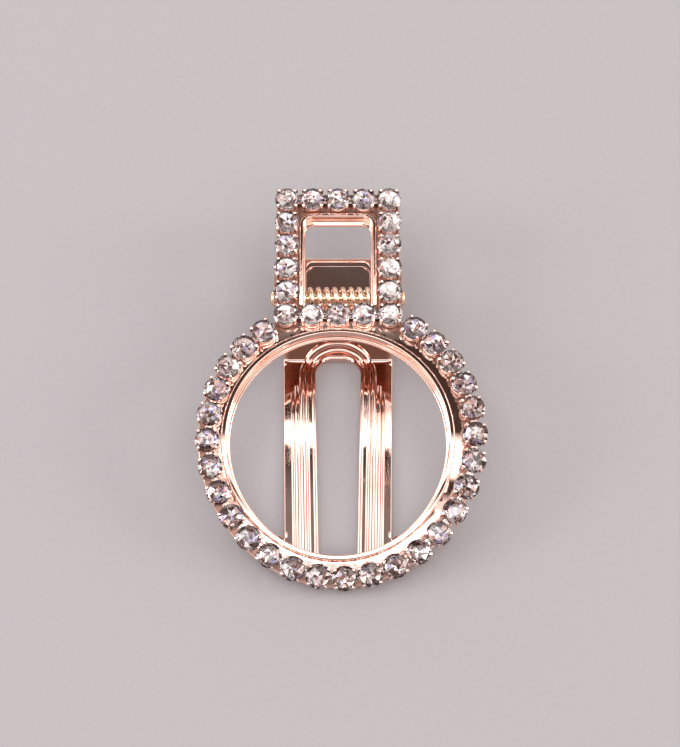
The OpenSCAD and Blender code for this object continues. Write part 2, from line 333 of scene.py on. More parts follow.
@dataclass(frozen=True)
class Plating(Finish):
    """Polished metal plating with fine scratches, faint smudges and pressed ripples.

    tone and deep_tone are its two shades, gloss its roughness at rest, smudge what a smudge adds to it,
    ripple the height of its pressed waves in millimetres, and scratch that of its polishing marks. From a
    given radius in millimetres off the ring's axis, its upper face under the cups is dulled by solder and
    darkened towards a dark copper tone, which is solder and painted shade between the stones.
    """

    # Grains to a millimetre and layers of each noise.
    CLOUDS, FINE, WIPES, WAVES = (0.22, 3.0), (1.7, 4.0), (3.0, 1.0), (0.42, 1.0)
    # How strongly the noises shade the metal and rub it dull.
    SHADE_GAIN, SHADE_OFF, FINE_GAIN = 2.6, 0.85, 0.5
    RUB_GAIN, RUB_FROM, WIPE_GAIN = 5.0, 0.46, 1.6
    # The edge of the solder and painted shade under the cups, how the fine noise frays it, how dull the
    # solder is, and how level its face must be.
    SEAT_EDGE, SEAT_FRAY, SEAT_ROUGH = 3.0, 4.0, 0.25
    LEVEL_FROM, LEVEL_GAIN = 0.8, 10.0

    title: str
    tone: Colour
    deep_tone: Colour
    gloss: float = 0.025
    smudge: float = 0.06
    ripple: float = 0.0011
    scratch: float = 0.00003
    grain: Colour = (1.0, 1.0, 1.0)
    # From this radius off the ring's axis, the upper face under the cups is darkened to the next colour:
    # solder, and painted shade between the stones.
    solder_and_shade_r: float = 0.0
    solder_and_shade_tone: Colour = (0.27, 0.155, 0.125)

    def mix(self, recipe: Recipe) -> None:
        """Fill the node tree of the plating."""
        where = recipe.object_place()
        cloud, fine = recipe.speckle(where, *self.CLOUDS), recipe.speckle(where, *self.FINE)
        wiped = recipe.speckle(recipe.stretched(where, self.grain), *self.WIPES)
        shade = (cloud * self.SHADE_GAIN - self.SHADE_OFF + (fine - 0.5) * self.FINE_GAIN).clipped()
        rub = ((cloud - self.RUB_FROM) * self.RUB_GAIN + (wiped - 0.5) * self.WIPE_GAIN).clipped()
        normal = recipe.bumped(recipe.speckle(where, *self.WAVES) * self.ripple + wiped * self.scratch)
        colour, rough = recipe.tint(shade, self.tone, self.deep_tone), self.gloss + rub * self.smudge
        # Under the cups the upper face is mixed towards a dark copper tone and dulled: solder, and painted
        # shade between the stones.
        if self.solder_and_shade_r:
            seat = self._solder_and_shade_mask(recipe, where, fine)
            colour, rough = recipe.tint(seat, colour, self.solder_and_shade_tone), rough + seat * self.SEAT_ROUGH
        recipe.dress({"Base Color": colour, "Metallic": 1.0, "Roughness": rough, "Normal": normal})

    def _solder_and_shade_mask(self, recipe: Recipe, where: bpy.types.NodeSocket, fine: Signal) -> Signal:
        """Mark the upper face under the cups, where solder and painted shade between the stones darken it.

        Args:
            recipe: The plating's recipe.
            where: Coordinates fixed to the object.
            fine: Fine noise, which frays the edge of the solder and painted shade.

        Returns:
            1 where the solder and painted shade lie and 0 elsewhere.
        """
        centre = (0.0, RING_Y * MM, 0.0)
        off = recipe.node("ShaderNodeVectorMath", {"operation": "SUBTRACT"}, {0: where, 1: centre})
        flat = recipe.stretched(off.outputs[0], (1.0, 1.0, 0.0))
        length = recipe.node("ShaderNodeVectorMath", {"operation": "LENGTH"}, {0: flat})
        reach = Signal(recipe, length.outputs[1]) / MM
        facing = recipe.node("ShaderNodeTexCoord").outputs["Normal"]
        up = Signal(recipe, recipe.node("ShaderNodeSeparateXYZ", None, {0: facing}).outputs[2])
        # Solder and painted shade: beyond the radius, with a frayed edge, on level upward faces only.
        solder_and_shade = (reach - self.solder_and_shade_r) * self.SEAT_EDGE + (fine - 0.5) * self.SEAT_FRAY
        return solder_and_shade.clipped() * up.ramp(self.LEVEL_FROM, self.LEVEL_GAIN)


@dataclass(frozen=True)
class CutGlass(Finish):
    """The clear crown of a stone, over its foil."""

    title: str = "cut crystal"
    tone: Colour = (0.98, 0.975, 0.985)
    bend: float = 1.62

    def mix(self, recipe: Recipe) -> None:
        """Fill the node tree of the glass."""
        tone = (*self.tone, 1.0)
        recipe.dress({"Base Color": tone, "Roughness": 0.0, "IOR": self.bend, "Transmission Weight": 1.0})


@dataclass(frozen=True)
class Foil(Finish):
    """The mirror foil behind a stone, whose facets carry painted reflections, one colour to a facet."""

    title: str = "stone foil"
    gloss: float = 0.04
    frost: float = 0.5

    def mix(self, recipe: Recipe) -> None:
        """Fill the node tree of the foil."""
        # The colour of each facet is its painted reflection; its alpha sets the frost.
        facets = recipe.node("ShaderNodeVertexColor", {"layer_name": StoneCut.PAINTED_REFLECTION_LAYER})
        rough = self.gloss + Signal(recipe, facets.outputs["Alpha"]) * self.frost
        recipe.dress({"Base Color": facets.outputs["Color"], "Metallic": 1.0, "Roughness": rough})


@dataclass(frozen=True)
class PaleFloor(Finish):
    """Plain pale card under the clip."""

    title: str = "pale card"
    tone: Colour = (0.38, 0.368, 0.384)
    deep_tone: Colour = (0.352, 0.34, 0.356)
    fibres: tuple[float, float] = (1.3, 4.0)
    fibre_h: float = 0.02

    def mix(self, recipe: Recipe) -> None:
        """Fill the node tree of the card."""
        fibre = recipe.speckle(recipe.object_place(), *self.fibres)
        recipe.dress(
            {
                "Base Color": recipe.tint(fibre, self.tone, self.deep_tone),
                "Roughness": 0.75,
                "Specular IOR Level": 0.2,
                "Normal": recipe.bumped(fibre * self.fibre_h),
            }
        )


ROSE_SHEET = Plating("rose gold sheet", (0.95, 0.69, 0.6), (0.87, 0.54, 0.45))
# The ring and lever sheet, with solder and painted shade under the cups.
ROSE_SOLDER_AND_SHADE = replace(ROSE_SHEET, title="rose gold with solder and painted shade under the cups", solder_and_shade_r=16.1)
# Painted shade: a darker, duller copper copy of the rose gold for the sheet's underside, where shade falls.
ROSE_SHADED_UNDERSIDE = Plating("rose gold underside with painted shade", (0.55, 0.27, 0.18), (0.42, 0.18, 0.12), gloss=0.2, smudge=0.2)
JAW_SHEET = Plating("rose gold jaw", (0.95, 0.71, 0.63), (0.87, 0.55, 0.47), grain=(1.0, 0.12, 1.0))
CUP_PLATING = Plating("rose gold cups", (0.96, 0.8, 0.75), (0.88, 0.64, 0.56), ripple=0.001)
PIN_PLATING = Plating("gold pin", (0.97, 0.8, 0.58), (0.92, 0.7, 0.46), gloss=0.14)
WIRE_PLATING = Plating(
    "gold spring wire", (0.97, 0.82, 0.66), (0.9, 0.66, 0.5), gloss=0.1, grain=(0.3, 1.0, 1.0)
)


# Bent sheets seen from the side


class SideView(ABC):
    """A sheet's side view: gives the height of a layer of the sheet at each y."""

    @abstractmethod
    def height(self, y: float, over: float) -> float:
        """Height above the table.

        Args:
            y: The place along the clip.
            over: How far the layer lies over the sheet's reference face, square to it.

        Returns:
            The height of that layer at y.
        """

    def place(self, x: float, y: float, over: float) -> Vector:
        """Place a point of the flat pattern on the bent sheet."""
        return Vector((x, y, self.height(y, over)))


@dataclass(frozen=True)
class Arch(SideView):
    """The upper sheet: an arch over the ring and a straight lever. Heights count from its upper face."""

    radius: float = 90.0
    slope: float = math.radians(12.5)
    rise: float = 7.1
    end_y: float = 7.8

    @property
    def centre_y(self) -> float:
        """The y of the arch's centre."""
        return RING_Y + self.radius * math.sin(self.slope)

    @property
    def centre_z(self) -> float:
        """The height of the arch's centre."""
        return self.rise - self.radius * math.cos(self.slope)

    def tilt(self, y: float) -> float:
        """The sheet's slope at y, in radians."""
        return math.asin((self.centre_y - min(y, self.end_y)) / self.radius)

    def height(self, y: float, over: float) -> float:
        """Height of a layer of the arch or of the lever at y."""
        on_arch = min(y, self.end_y)
        lifted = self.radius + over
        z = self.centre_z + math.sqrt(lifted**2 - (on_arch - self.centre_y) ** 2)
        return z + (y - on_arch) * math.tan(self.tilt(y))


@dataclass(frozen=True)
class JawLine(SideView):
    """The lower sheet: flat on the table, bent up, and level again at the thumb plate.

    Heights count from its underside.
    """

    bend_y: float = 6.1
    low_r: float = 1.6
    high_r: float = 1.0
    bend: float = math.radians(45.0)
    thumb_z: float = 3.4

    @property
    def thumb_y(self) -> float:
        """Where the thumb plate starts."""
        radii = self.low_r + self.high_r
        rise = self.thumb_z - radii * (1 - math.cos(self.bend))
        return self.bend_y + radii * math.sin(self.bend) + rise / math.tan(self.bend)

    def height(self, y: float, over: float) -> float:
        """Height of a layer of the lower sheet at y."""
        low, high = self.low_r - over, self.high_r + over
        low_end = self.bend_y + low * math.sin(self.bend)
        high_start = self.thumb_y - high * math.sin(self.bend)
        if y <= self.bend_y:
            return over
        if y <= low_end:
            return self.low_r - math.sqrt(low**2 - (y - self.bend_y) ** 2)
        if y >= self.thumb_y:
            return self.thumb_z + over
        if y >= high_start:
            return self.thumb_z - self.high_r + math.sqrt(high**2 - (self.thumb_y - y) ** 2)
        low_end_z = self.low_r - low * math.cos(self.bend)
        return low_end_z + (y - low_end) * math.tan(self.bend)


ARCH = Arch()
JAW_LINE = JawLine()


# Plan outlines


def arc(x: float, y: float, r: float, start: float, end: float, steps: int) -> list[Point2]:
    """Points on an arc, both ends included.

    Args:
        x: The centre's x.
        y: The centre's y.
        r: The radius.
        start: The first angle in degrees, anticlockwise from +X.
        end: The last angle in degrees.
        steps: How many steps there are from first to last.

    Returns:
        The points.
    """
    angles = [math.radians(start + (end - start) * i / steps) for i in range(steps + 1)]
    return [(x + r * math.cos(a), y + r * math.sin(a)) for a in angles]


def full_turn(count: int) -> list[float]:
    """Evenly spaced angles round a circle, in radians."""
    return [2 * math.pi * i / count for i in range(count)]


def rounded_box(half: float, y0: float, y1: float, r: float) -> list[Point2]:
    """A rectangle about the middle line, with round corners, anticlockwise.

    Args:
        half: Half its width.
        y0: Its near end.
        y1: Its far end.
        r: The radius of its corners.

    Returns:
        The outline.
    """
    side, near, far = half - r, y0 + r, y1 - r
    corners = ((side, near, -90), (side, far, 0), (-side, far, 90), (-side, near, 180))
    return [p for x, y, a in corners for p in arc(x, y, r, a, a + 90, 10)]


def eased(corners: Sequence[tuple[float, float, float]], steps: int) -> list[Point2]:
    """Round the corners of a closed profile.

    Args:
        corners: Each corner's place and how far from it the rounding starts.
        steps: How many steps each rounding has.

    Returns:
        The rounded profile.
    """
    made: list[Point2] = []
    for i, (u, v, ease) in enumerate(corners):
        here = Vector((u, v))
        if ease == 0.0:
            made.append((u, v))
            continue
        back = Vector(corners[i - 1][:2]) - here
        ahead = Vector(corners[(i + 1) % len(corners)][:2]) - here
        first = here + back.normalized() * min(ease, back.length / 2)
        last = here + ahead.normalized() * min(ease, ahead.length / 2)
        for k in range(steps + 1):
            t = k / steps
            at = first * (1 - t) ** 2 + here * (2 * t * (1 - t)) + last * t**2
            made.append((at.x, at.y))
    return made


def stepped_in(outline: Sequence[Point2], by: float) -> list[Point2]:
    """Move an anticlockwise outline inwards, or outwards by a negative step.

    Args:
        outline: The closed outline.
        by: How far to move it.

    Returns:
        The moved outline, point for point.
    """
    moved = []
    for i, (x, y) in enumerate(outline):
        sides = ((outline[i - 1], (x, y)), ((x, y), outline[(i + 1) % len(outline)]))
        ins = [Vector((a[1] - b[1], b[0] - a[0])).normalized() for a, b in sides]
        way = (ins[0] + ins[1]).normalized()
        reach = by / max(way.dot(ins[0]), 0.5)
        moved.append((x + way.x * reach, y + way.y * reach))
    return moved


def split_at(outline: Sequence[Point2], rows: Sequence[float]) -> list[Point2]:
    """Add points where an outline crosses rows of constant y.

    Args:
        outline: The closed outline.
        rows: The rows, in rising order.

    Returns:
        The outline with the added points.
    """
    made: list[Point2] = []
    for i, (x0, y0) in enumerate(outline):
        x1, y1 = outline[(i + 1) % len(outline)]
        made.append((x0, y0))
        low, high = min(y0, y1), max(y0, y1)
        cuts = [row for row in rows if low + 0.02 < row < high - 0.02]
        for row in cuts if y1 > y0 else reversed(cuts):
            made.append((x0 + (x1 - x0) * (row - y0) / (y1 - y0), row))
    return made


def inside(point: Point2, outlines: Sequence[Sequence[Point2]]) -> bool:
    """Whether a point lies within the outlines, counted even and odd.

    Args:
        point: The point.
        outlines: The outer outline and its holes.

    Returns:
        True if it lies in the solid part.
    """
    x, y = point
    found = False
    for outline in outlines:
        for i, (x0, y0) in enumerate(outline):
            x1, y1 = outline[i - 1]
            if (y0 > y) != (y1 > y) and x < (x1 - x0) * (y - y0) / (y1 - y0) + x0:
                found = not found
    return found


# Meshes


class Skin:
    """Gathers points and faces in millimetres, and builds them as one piece."""

    # Points closer than the first are merged, and edges shorter than the second are dissolved.
    MERGE, SLIVER = 0.0005, 0.0002

    def __init__(self) -> None:
        """Start with no points."""
        self.points: list[Vector] = []
        self.faces: list[tuple[int, ...]] = []
        self.looks: list[int] = []
        self.tints: list[FacetLook] = []

    def loop(self, points: Iterable[Vector]) -> list[int]:
        """Add points.

        Args:
            points: The points.

        Returns:
            Their numbers.
        """
        start = len(self.points)
        self.points.extend(points)
        return list(range(start, len(self.points)))

    def face(self, corners: Sequence[int], look: int = 0, tint: FacetLook = (1.0, 1.0, 1.0, 1.0)) -> None:
        """Add one face.

        Args:
            corners: The numbers of its points.
            look: Which of the piece's materials it wears.
            tint: A colour painted on it, which on the stones is a painted reflection, and how frosted it is.
        """
        self.faces.append(tuple(corners))
        self.looks.append(look)
        self.tints.append(tint)

    def bridge(self, first: Sequence[int], second: Sequence[int], closed: bool = True) -> None:
        """Join two loops of as many points by a band of faces.

        Args:
            first: The first loop.
            second: The second loop.
            closed: Whether the loops close on themselves.
        """
        count = len(first)
        for i in range(count if closed else count - 1):
            k = (i + 1) % count
            self.face((first[i], first[k], second[k], second[i]))

    def loft(self, loops: Sequence[Sequence[int]], closed: bool = True, round_trip: bool = True) -> None:
        """Join loops one after the other.

        Args:
            loops: The loops.
            closed: Whether each loop closes on itself.
            round_trip: Whether the last loop is joined to the first.
        """
        for i in range(len(loops) if round_trip else len(loops) - 1):
            self.bridge(loops[i], loops[(i + 1) % len(loops)], closed)

    def bar(self, lines: Sequence[Sequence[int]]) -> None:
        """Join the lines along a bar, and close both of its ends."""
        self.loft(lines, closed=False)
        for end in (0, -1):
            self.face([line[end] for line in lines])

    def rod(self, loops: Sequence[Sequence[int]]) -> None:
        """Join the loops round a rod, and close both of its ends."""
        self.loft(loops, round_trip=False)
        self.face(loops[0])
        self.face(loops[-1])

    def stamp(self, other: Skin, matrix: Matrix) -> None:
        """Add a copy of another skin.

        Args:
            other: The skin to copy.
            matrix: Where the copy goes.
        """
        start = len(self.points)
        self.points.extend(matrix @ p for p in other.points)
        self.faces.extend(tuple(start + i for i in face) for face in other.faces)
        self.looks.extend(other.looks)
        self.tints.extend(other.tints)

    def build(
        self, name: str, shading: Shading = Shading.SMOOTH, layer: str | None = None
    ) -> bpy.types.Object:
        """Make the piece.

        Args:
            name: The piece's name.
            shading: How its faces meet.
            layer: The name of the layer for the colours painted on the faces, on the stones painted
                reflections, if they are kept.

        Returns:
            The new object.
        """
        mesh = bpy.data.meshes.new(name)
        mesh.from_pydata([p * MM for p in self.points], [], self.faces)
        mesh.polygons.foreach_set("material_index", self.looks)
        if layer:
            tints = mesh.color_attributes.new(layer, "FLOAT_COLOR", "CORNER")
            for polygon, tint in zip(mesh.polygons, self.tints):
                for corner in polygon.loop_indices:
                    tints.data[corner].color = tint
        work = bmesh.new()
        work.from_mesh(mesh)
        bmesh.ops.remove_doubles(work, verts=work.verts, dist=self.MERGE * MM)
        bmesh.ops.dissolve_degenerate(work, edges=work.edges, dist=self.SLIVER * MM)
        bmesh.ops.recalc_face_normals(work, faces=work.faces)
        work.to_mesh(mesh)
        work.free()
        smooth = shading is Shading.SMOOTH
        mesh.polygons.foreach_set("use_smooth", [smooth] * len(mesh.polygons))
        if smooth:
            mesh.set_sharp_from_angle(angle=math.radians(shading.value))
        mesh.update()
        made = bpy.data.objects.new(name, mesh)
        bpy.context.scene.collection.objects.link(made)
        if smooth:
            self._weigh_normals(made)
        return made

    @staticmethod
    def _weigh_normals(piece: bpy.types.Object) -> None:
        """Let wide faces set the normals, so that flat sheet stays flat beside its rounded edges.

        Args:
            piece: The piece, already in the scene.
        """
        weights = piece.modifiers.new("face weights", "WEIGHTED_NORMAL")
        weights.keep_sharp = True
        with bpy.context.temp_override(object=piece):
            bpy.ops.object.modifier_apply(modifier=weights.name)


@dataclass
class Plate:
    """A piece of sheet cut to a pattern, with rounded edges.

    pattern is the outer outline followed by the holes, all anticlockwise, in the two directions of the
    sheet, low and high are the layer it fills, and place bends it. rows are lines of constant second
    direction that it may bend at, and spacing is how far apart the points on them are.
    """

    EDGE_STEPS = 4
    CROWDED = 0.3

    pattern: Sequence[Sequence[Point2]]
    low: float
    high: float
    edge: float
    place: Placing
    rows: Sequence[float] = ()
    spacing: float = 1.0
    # Which finish the lower faces wear; the ring and lever sheet gives them its darker copy, painted shade.
    back_look: int = 0

    def fill(self, skin: Skin) -> None:
        """Add the plate to a skin.

        Args:
            skin: The skin to add to.
        """
        outlines = [split_at(outline, self.rows) for outline in self.pattern]
        ways = [1.0] + [-1.0] * (len(outlines) - 1)
        upper: list[list[int]] = []
        lower: list[list[int]] = []
        inner = [stepped_in(o, self.edge * w) for o, w in zip(outlines, ways)]
        turns = [math.pi / 2 * k / self.EDGE_STEPS for k in range(self.EDGE_STEPS + 1)]
        layers = [(self.high, -1, turn) for turn in turns] + [(self.low, 1, turn) for turn in reversed(turns)]
        for outline, way in zip(outlines, ways):
            loops = []
            for level, inwards, turn in layers:
                flat = stepped_in(outline, way * self.edge * (1 - math.sin(turn)))
                over = level + inwards * self.edge * (1 - math.cos(turn))
                loops.append(skin.loop(self.place(x, y, over) for x, y in flat))
            skin.loft(loops, round_trip=False)
            upper.append(loops[0])
            lower.append(loops[-1])
        flat_points, triangles = self._triangles(inner)
        rims = [[i for loop in side for i in loop] for side in (upper, lower)]
        for rim, over, look in zip(rims, (self.high, self.low), (0, self.back_look)):
            extra = skin.loop(self.place(x, y, over) for x, y in flat_points[len(rim):])
            numbers = rim + extra
            for triangle in triangles:
                skin.face([numbers[i] for i in triangle], look)

    def _triangles(self, outlines: Sequence[Sequence[Point2]]) -> tuple[list[Point2], list[tuple[int, ...]]]:
        """Cut the flat part into triangles.

        Args:
            outlines: The flat part's outline and holes.

        Returns:
            The points, the outlines' own first, and the triangles.
        """
        points = [p for outline in outlines for p in outline]
        edges, start = [], 0
        for outline in outlines:
            count = len(outline)
            edges += [(start + i, start + (i + 1) % count) for i in range(count)]
            start += count
        xs = [x for x, _ in points]
        columns = max(2, round((max(xs) - min(xs)) / self.spacing))
        known = list(points)
        for row in self.rows:
            for k in range(1, columns):
                spot = (min(xs) + (max(xs) - min(xs)) * k / columns, row)
                near = min((spot[0] - x) ** 2 + (spot[1] - y) ** 2 for x, y in known)
                if near > (self.CROWDED * self.spacing) ** 2 and inside(spot, outlines):
                    points.append(spot)
        made, _, faces, origins, _, _ = delaunay_2d_cdt([Vector(p) for p in points], edges, [], 0, 1e-7)
        first = {i: sources[0] for i, sources in enumerate(origins) if sources}
        triangles = []
        for face in faces:
            middle = sum((made[i] for i in face), Vector((0.0, 0.0))) / len(face)
            if inside((middle.x, middle.y), outlines) and all(i in first for i in face):
                triangles.append(tuple(first[i] for i in face))
        return points, triangles


def ear_pair(name: str, outline: Sequence[Point2], outer: float) -> bpy.types.Object:
    """Make two upright ears with a bore for the pin.

    Args:
        name: The pair's name.
        outline: An ear's outline, along the clip and up, anticlockwise.
        outer: How far its outer face is from the middle line.

    Returns:
        The pair.
    """
    bore = arc(PIN_Y, PIN_Z, BORE_R, 0, 350, 35)
    skin = Skin()
    for side in (-1, 1):

        def place(u: float, v: float, out: float, side: int = side) -> Vector:
            """Stand the ear up on its side of the clip."""
            return Vector((side * (outer - EAR_T + out), u, v))

        Plate([outline, bore], 0.0, EAR_T, EAR_EDGE, place).fill(skin)
    return skin.build(name)


def fit(
    piece: bpy.types.Object,
    finishes: Sequence[Finish],
    body: Body | None,
    stands_for: Sequence[str] = (),
) -> bpy.types.Object:
    """Dress a piece and hang it on its body.

    Args:
        piece: The piece.
        finishes: Its materials, in the order of its faces' looks.
        body: The body it rides on, or None to hang it on neither.
        stands_for: The CAD nodes that it replaces.

    Returns:
        The piece.
    """
    for finish in finishes:
        piece.data.materials.append(finish.material())
    if body:
        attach(piece, body.value)
    if stands_for:
        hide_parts(*stands_for)
    LOG.info("%s: %d faces", piece.name, len(piece.data.polygons))
    return piece


# The upper sheet


def rows_between(low: float, high: float, step: float) -> list[float]:
    """Evenly spaced rows from low to high."""
    count = max(1, math.ceil((high - low) / step))
    return [low + (high - low) * i / count for i in range(count + 1)]


@dataclass
class UpperSheet:
    """The upper jaw's sheet: the ring's flat border and the lever's, with raised rims and two ears."""

    # Shares of a bead's half width at which its profile has points.
    BEAD_SHARES = (0.98, 0.94, 0.88, 0.79, 0.68, 0.55, 0.4, 0.2)

    ring_r: float = 18.2
    rim_in: float = 14.5
    rim_out: float = 15.26
    lip: float = 0.4
    lip_t: float = 0.4
    lip_ease: float = 0.17
    ring_nook: float = 0.25
    window_nook: float = 0.2
    foot_ease: float = 0.3
    ring_steps: int = 200
    sheet: float = 0.6
    rim_up: float = 0.42
    rim_square: float = 5.0
    rim_down: float = 1.3
    lever_half: float = 8.4
    lever_end: float = 27.35
    lever_corner: float = 1.0
    window_half: float = 4.6
    window_front: float = 9.85
    window_rim_y: float = 10.37
    window_back: float = 23.63
    window_corner: float = 1.3
    window_rim: float = 0.6
    lip_side: float = 0.15
    lip_end: float = 0.6
    ear_out: float = 8.6
    ear_half: float = 2.6
    ear_r: float = 1.7
    ear_flare: float = 12.0
    ear_sunk: float = 0.2
    edge: float = 0.14
    margin: float = 0.5
    spacing: float = 0.9

    def border(self) -> list[Point2]:
        """The outer outline of ring, lever and ear lugs, anticlockwise."""
        meet = math.degrees(math.acos(self.lever_half / self.ring_r))
        near, far = PIN_Y - self.ear_half, PIN_Y + self.ear_half
        half, out, r = self.lever_half, self.ear_out, self.lever_corner
        right = [(half, near), (out, near), (out, far), (half, far)]
        right += arc(half - r, self.lever_end - r, r, 0, 90, 8)
        ring = arc(0, RING_Y, self.ring_r, 180 - meet, 360 + meet, self.ring_steps)
        return ring + right + [(-x, y) for x, y in reversed(right)]

    def build(self) -> None:
        """Make the sheet's pieces."""
        # Upper face: solder and painted shade under the cups; underside: a darker copy of the rose gold with
        # painted shade.
        fit(self._sheet(), [ROSE_SOLDER_AND_SHADE, ROSE_SHADED_UNDERSIDE], Body.UPPER, ["top_frame"])
        for piece in (self._ring_rim(), self._window_rim(), self._ears()):
            fit(piece, [ROSE_SHEET], Body.UPPER)

    def _sheet(self) -> bpy.types.Object:
        """The flat border of ring and lever."""
        middle = (self.rim_in + self.rim_out) / 2
        window = self._window_path(self.window_rim / 2, self.window_front)
        outlines = [self.border(), arc(0, RING_Y, middle, 0, 358, 179), list(reversed(window))]
        ends = (RING_Y - self.ring_r + self.margin, self.lever_end - self.margin)
        rows = rows_between(*ends, self.spacing)
        skin = Skin()
        # The lower faces wear the second finish, a darker copy of the rose gold with painted shade.
        Plate(outlines, -self.sheet, 0.0, self.edge, ARCH.place, rows, self.spacing, 1).fill(skin)
        return skin.build("ring_and_lever_sheet")

    def _profile(self, lip_in: float, inner: float, outer: float, nook: float, steps: int) -> list[Point2]:
        """A rim from the side: lip, wall, flat-topped bead and outer wall.

        Args:
            lip_in: Where the lip ends.
            inner: Where the wall and the bead's inner foot are.
            outer: Where the bead's outer foot is.
            nook: How far the corner between lip and wall is rounded.
            steps: How many steps each rounding has.

        Returns:
            The closed profile.
        """
        low, top = -self.rim_down, -self.rim_down + self.lip_t
        lip = [(lip_in, low, self.lip_ease), (lip_in, top, self.lip_ease), (inner, top, nook)]
        profile = eased([*lip, (inner, 0.0, 0.0), (outer, 0.0, 0.0), (outer, low, self.foot_ease)], steps)
        at = profile.index((outer, 0.0))
        middle, half, n = (inner + outer) / 2, (outer - inner) / 2, self.rim_square
        shares = [-u for u in self.BEAD_SHARES] + [0.0] + list(reversed(self.BEAD_SHARES))
        bead = [(middle + half * u, self.rim_up * (1 - abs(u) ** n) ** (1 / n)) for u in shares]
        return [*profile[:at], *bead, *profile[at:]]

    def _ring_rim(self) -> bpy.types.Object:
        """The bead, wall and turned-in lip of the ring."""
        profile = self._profile(self.rim_in - self.lip, self.rim_in, self.rim_out, self.ring_nook, 7)
        skin = Skin()
        turns = full_turn(self.ring_steps)
        loops = [
            skin.loop(ARCH.place(r * math.sin(a), RING_Y + r * math.cos(a), over) for a in turns)
            for r, over in profile
        ]
        skin.loft(loops)
        return skin.build("ring_rim")

    def _window_path(self, out: float, start: float) -> list[Point2]:
        """The window's left side, back end and right side.

        Args:
            out: Millimetres outwards, or minus the share of the way to the lip.
            start: Where the sides start.

        Returns:
            The open path, clockwise.
        """
        half, back, r = self.window_half, self.window_back, self.window_corner
        if out >= 0:
            return self._side_and_corner(half + out, back + out, r + out, start)
        wall = self._window_path(0.0, start)
        lip = self._side_and_corner(half - self.lip_side, back - self.lip_end, r, start)
        return [(a[0] * (1 + out) - b[0] * out, a[1] * (1 + out) - b[1] * out) for a, b in zip(wall, lip)]

    @staticmethod
    def _side_and_corner(half: float, back: float, r: float, start: float) -> list[Point2]:
        """A path up the left side, round both back corners and down the right side."""
        side = [(-half, start + (back - r - start) * i / 14) for i in range(14)]
        left = side + arc(r - half, back - r, r, 180, 90, 10)
        return left + [(-x, y) for x, y in reversed(left)]

    def _window_rim(self) -> bpy.types.Object:
        """The bead, wall and lip of the lever's window, which end at the junction row."""
        skin = Skin()
        lines = [
            skin.loop(ARCH.place(x, y, over) for x, y in self._window_path(out, self.window_rim_y))
            for out, over in self._profile(-1.0, 0.0, self.window_rim, self.window_nook, 6)
        ]
        skin.bar(lines)
        return skin.build("window_rim")

    def _ears(self) -> bpy.types.Object:
        """The two ears that come down over the pin."""
        top = ARCH.height(PIN_Y, 0.0) - self.ear_sunk
        bottom = arc(PIN_Y, PIN_Z, self.ear_r, 180 + self.ear_flare, 360 - self.ear_flare, 20)
        outline = bottom + [(PIN_Y + self.ear_half, top), (PIN_Y - self.ear_half, top)]
        return ear_pair("lever_ears", outline, self.ear_out)


# Stones and their cups


@dataclass
class Rows:
    """Where the cups sit: an open arc round the ring and a rectangle round the lever's window."""

    row_r: float = 17.4
    shift: float = 0.45
    back: float = 0.3
    first: float = 33.6
    last: float = 323.9
    count: int = 27
    column_half: float = 6.9
    columns: int = 5
    lines: int = 6
    line_y: float = 8.65
    line_length: float = 17.3
    gap: float = 0.06

    def seat(self, x: float, y: float, turn: float) -> Matrix:
        """Where a cup stands on the upper sheet, as in the CAD.

        Args:
            x: Its place across the clip.
            y: Its place along the clip.
            turn: Its turn about its own axis, in degrees.

        Returns:
            The cup's matrix.
        """
        return (
            Matrix.Translation((x, y, ARCH.height(y, 0.0)))
            @ Matrix.Rotation(ARCH.tilt(y), 4, "X")
            @ Matrix.Translation((0.0, 0.0, self.gap))
            @ Matrix.Rotation(math.radians(turn), 4, "Z")
        )

    def ring(self) -> list[Matrix]:
        """The ring's seats, from right of the junction round to its left."""
        step = (self.last - self.first) / (self.count - 1)
        seats = []
        for turn in (self.first + i * step for i in range(self.count)):
            a = math.radians(turn)
            x, y = self.shift + self.row_r * math.sin(a), RING_Y + self.back + self.row_r * math.cos(a)
            seats.append(self.seat(x, y, -turn))
        return seats

    def lever(self) -> list[Matrix]:
        """The lever's seats, in order round its rectangle."""
        across = 2 * self.column_half / (self.columns - 1)
        along = self.line_length / (self.lines - 1)
        last_c, last_l = self.columns - 1, self.lines - 1
        cells = [(i, 0) for i in range(last_c)] + [(last_c, j) for j in range(last_l)]
        cells += [(i, last_l) for i in range(last_c, 0, -1)] + [(0, j) for j in range(last_l, 0, -1)]
        return [self.seat(-self.column_half + i * across, self.line_y + j * along, 0.0) for i, j in cells]


# Painted reflection and frost of a foil facet: white highlights first, then pinks, violet and dark
# reflections.
PAINTED_FACET_REFLECTIONS: tuple[FacetLook, ...] = (
    (1.0, 0.98, 0.97, 0.8),
    (1.0, 0.98, 0.97, 0.0),
    (0.95, 0.86, 0.85, 0.2),
    (0.74, 0.62, 0.6, 0.0),
    (0.7, 0.48, 0.42, 0.2),
    (0.5, 0.43, 0.66, 0.2),
    (0.55, 0.36, 0.36, 0.2),
    (0.34, 0.23, 0.2, 0.0),
    (0.2, 0.11, 0.09, 0.1),
    (0.1, 0.05, 0.04, 0.1),
)


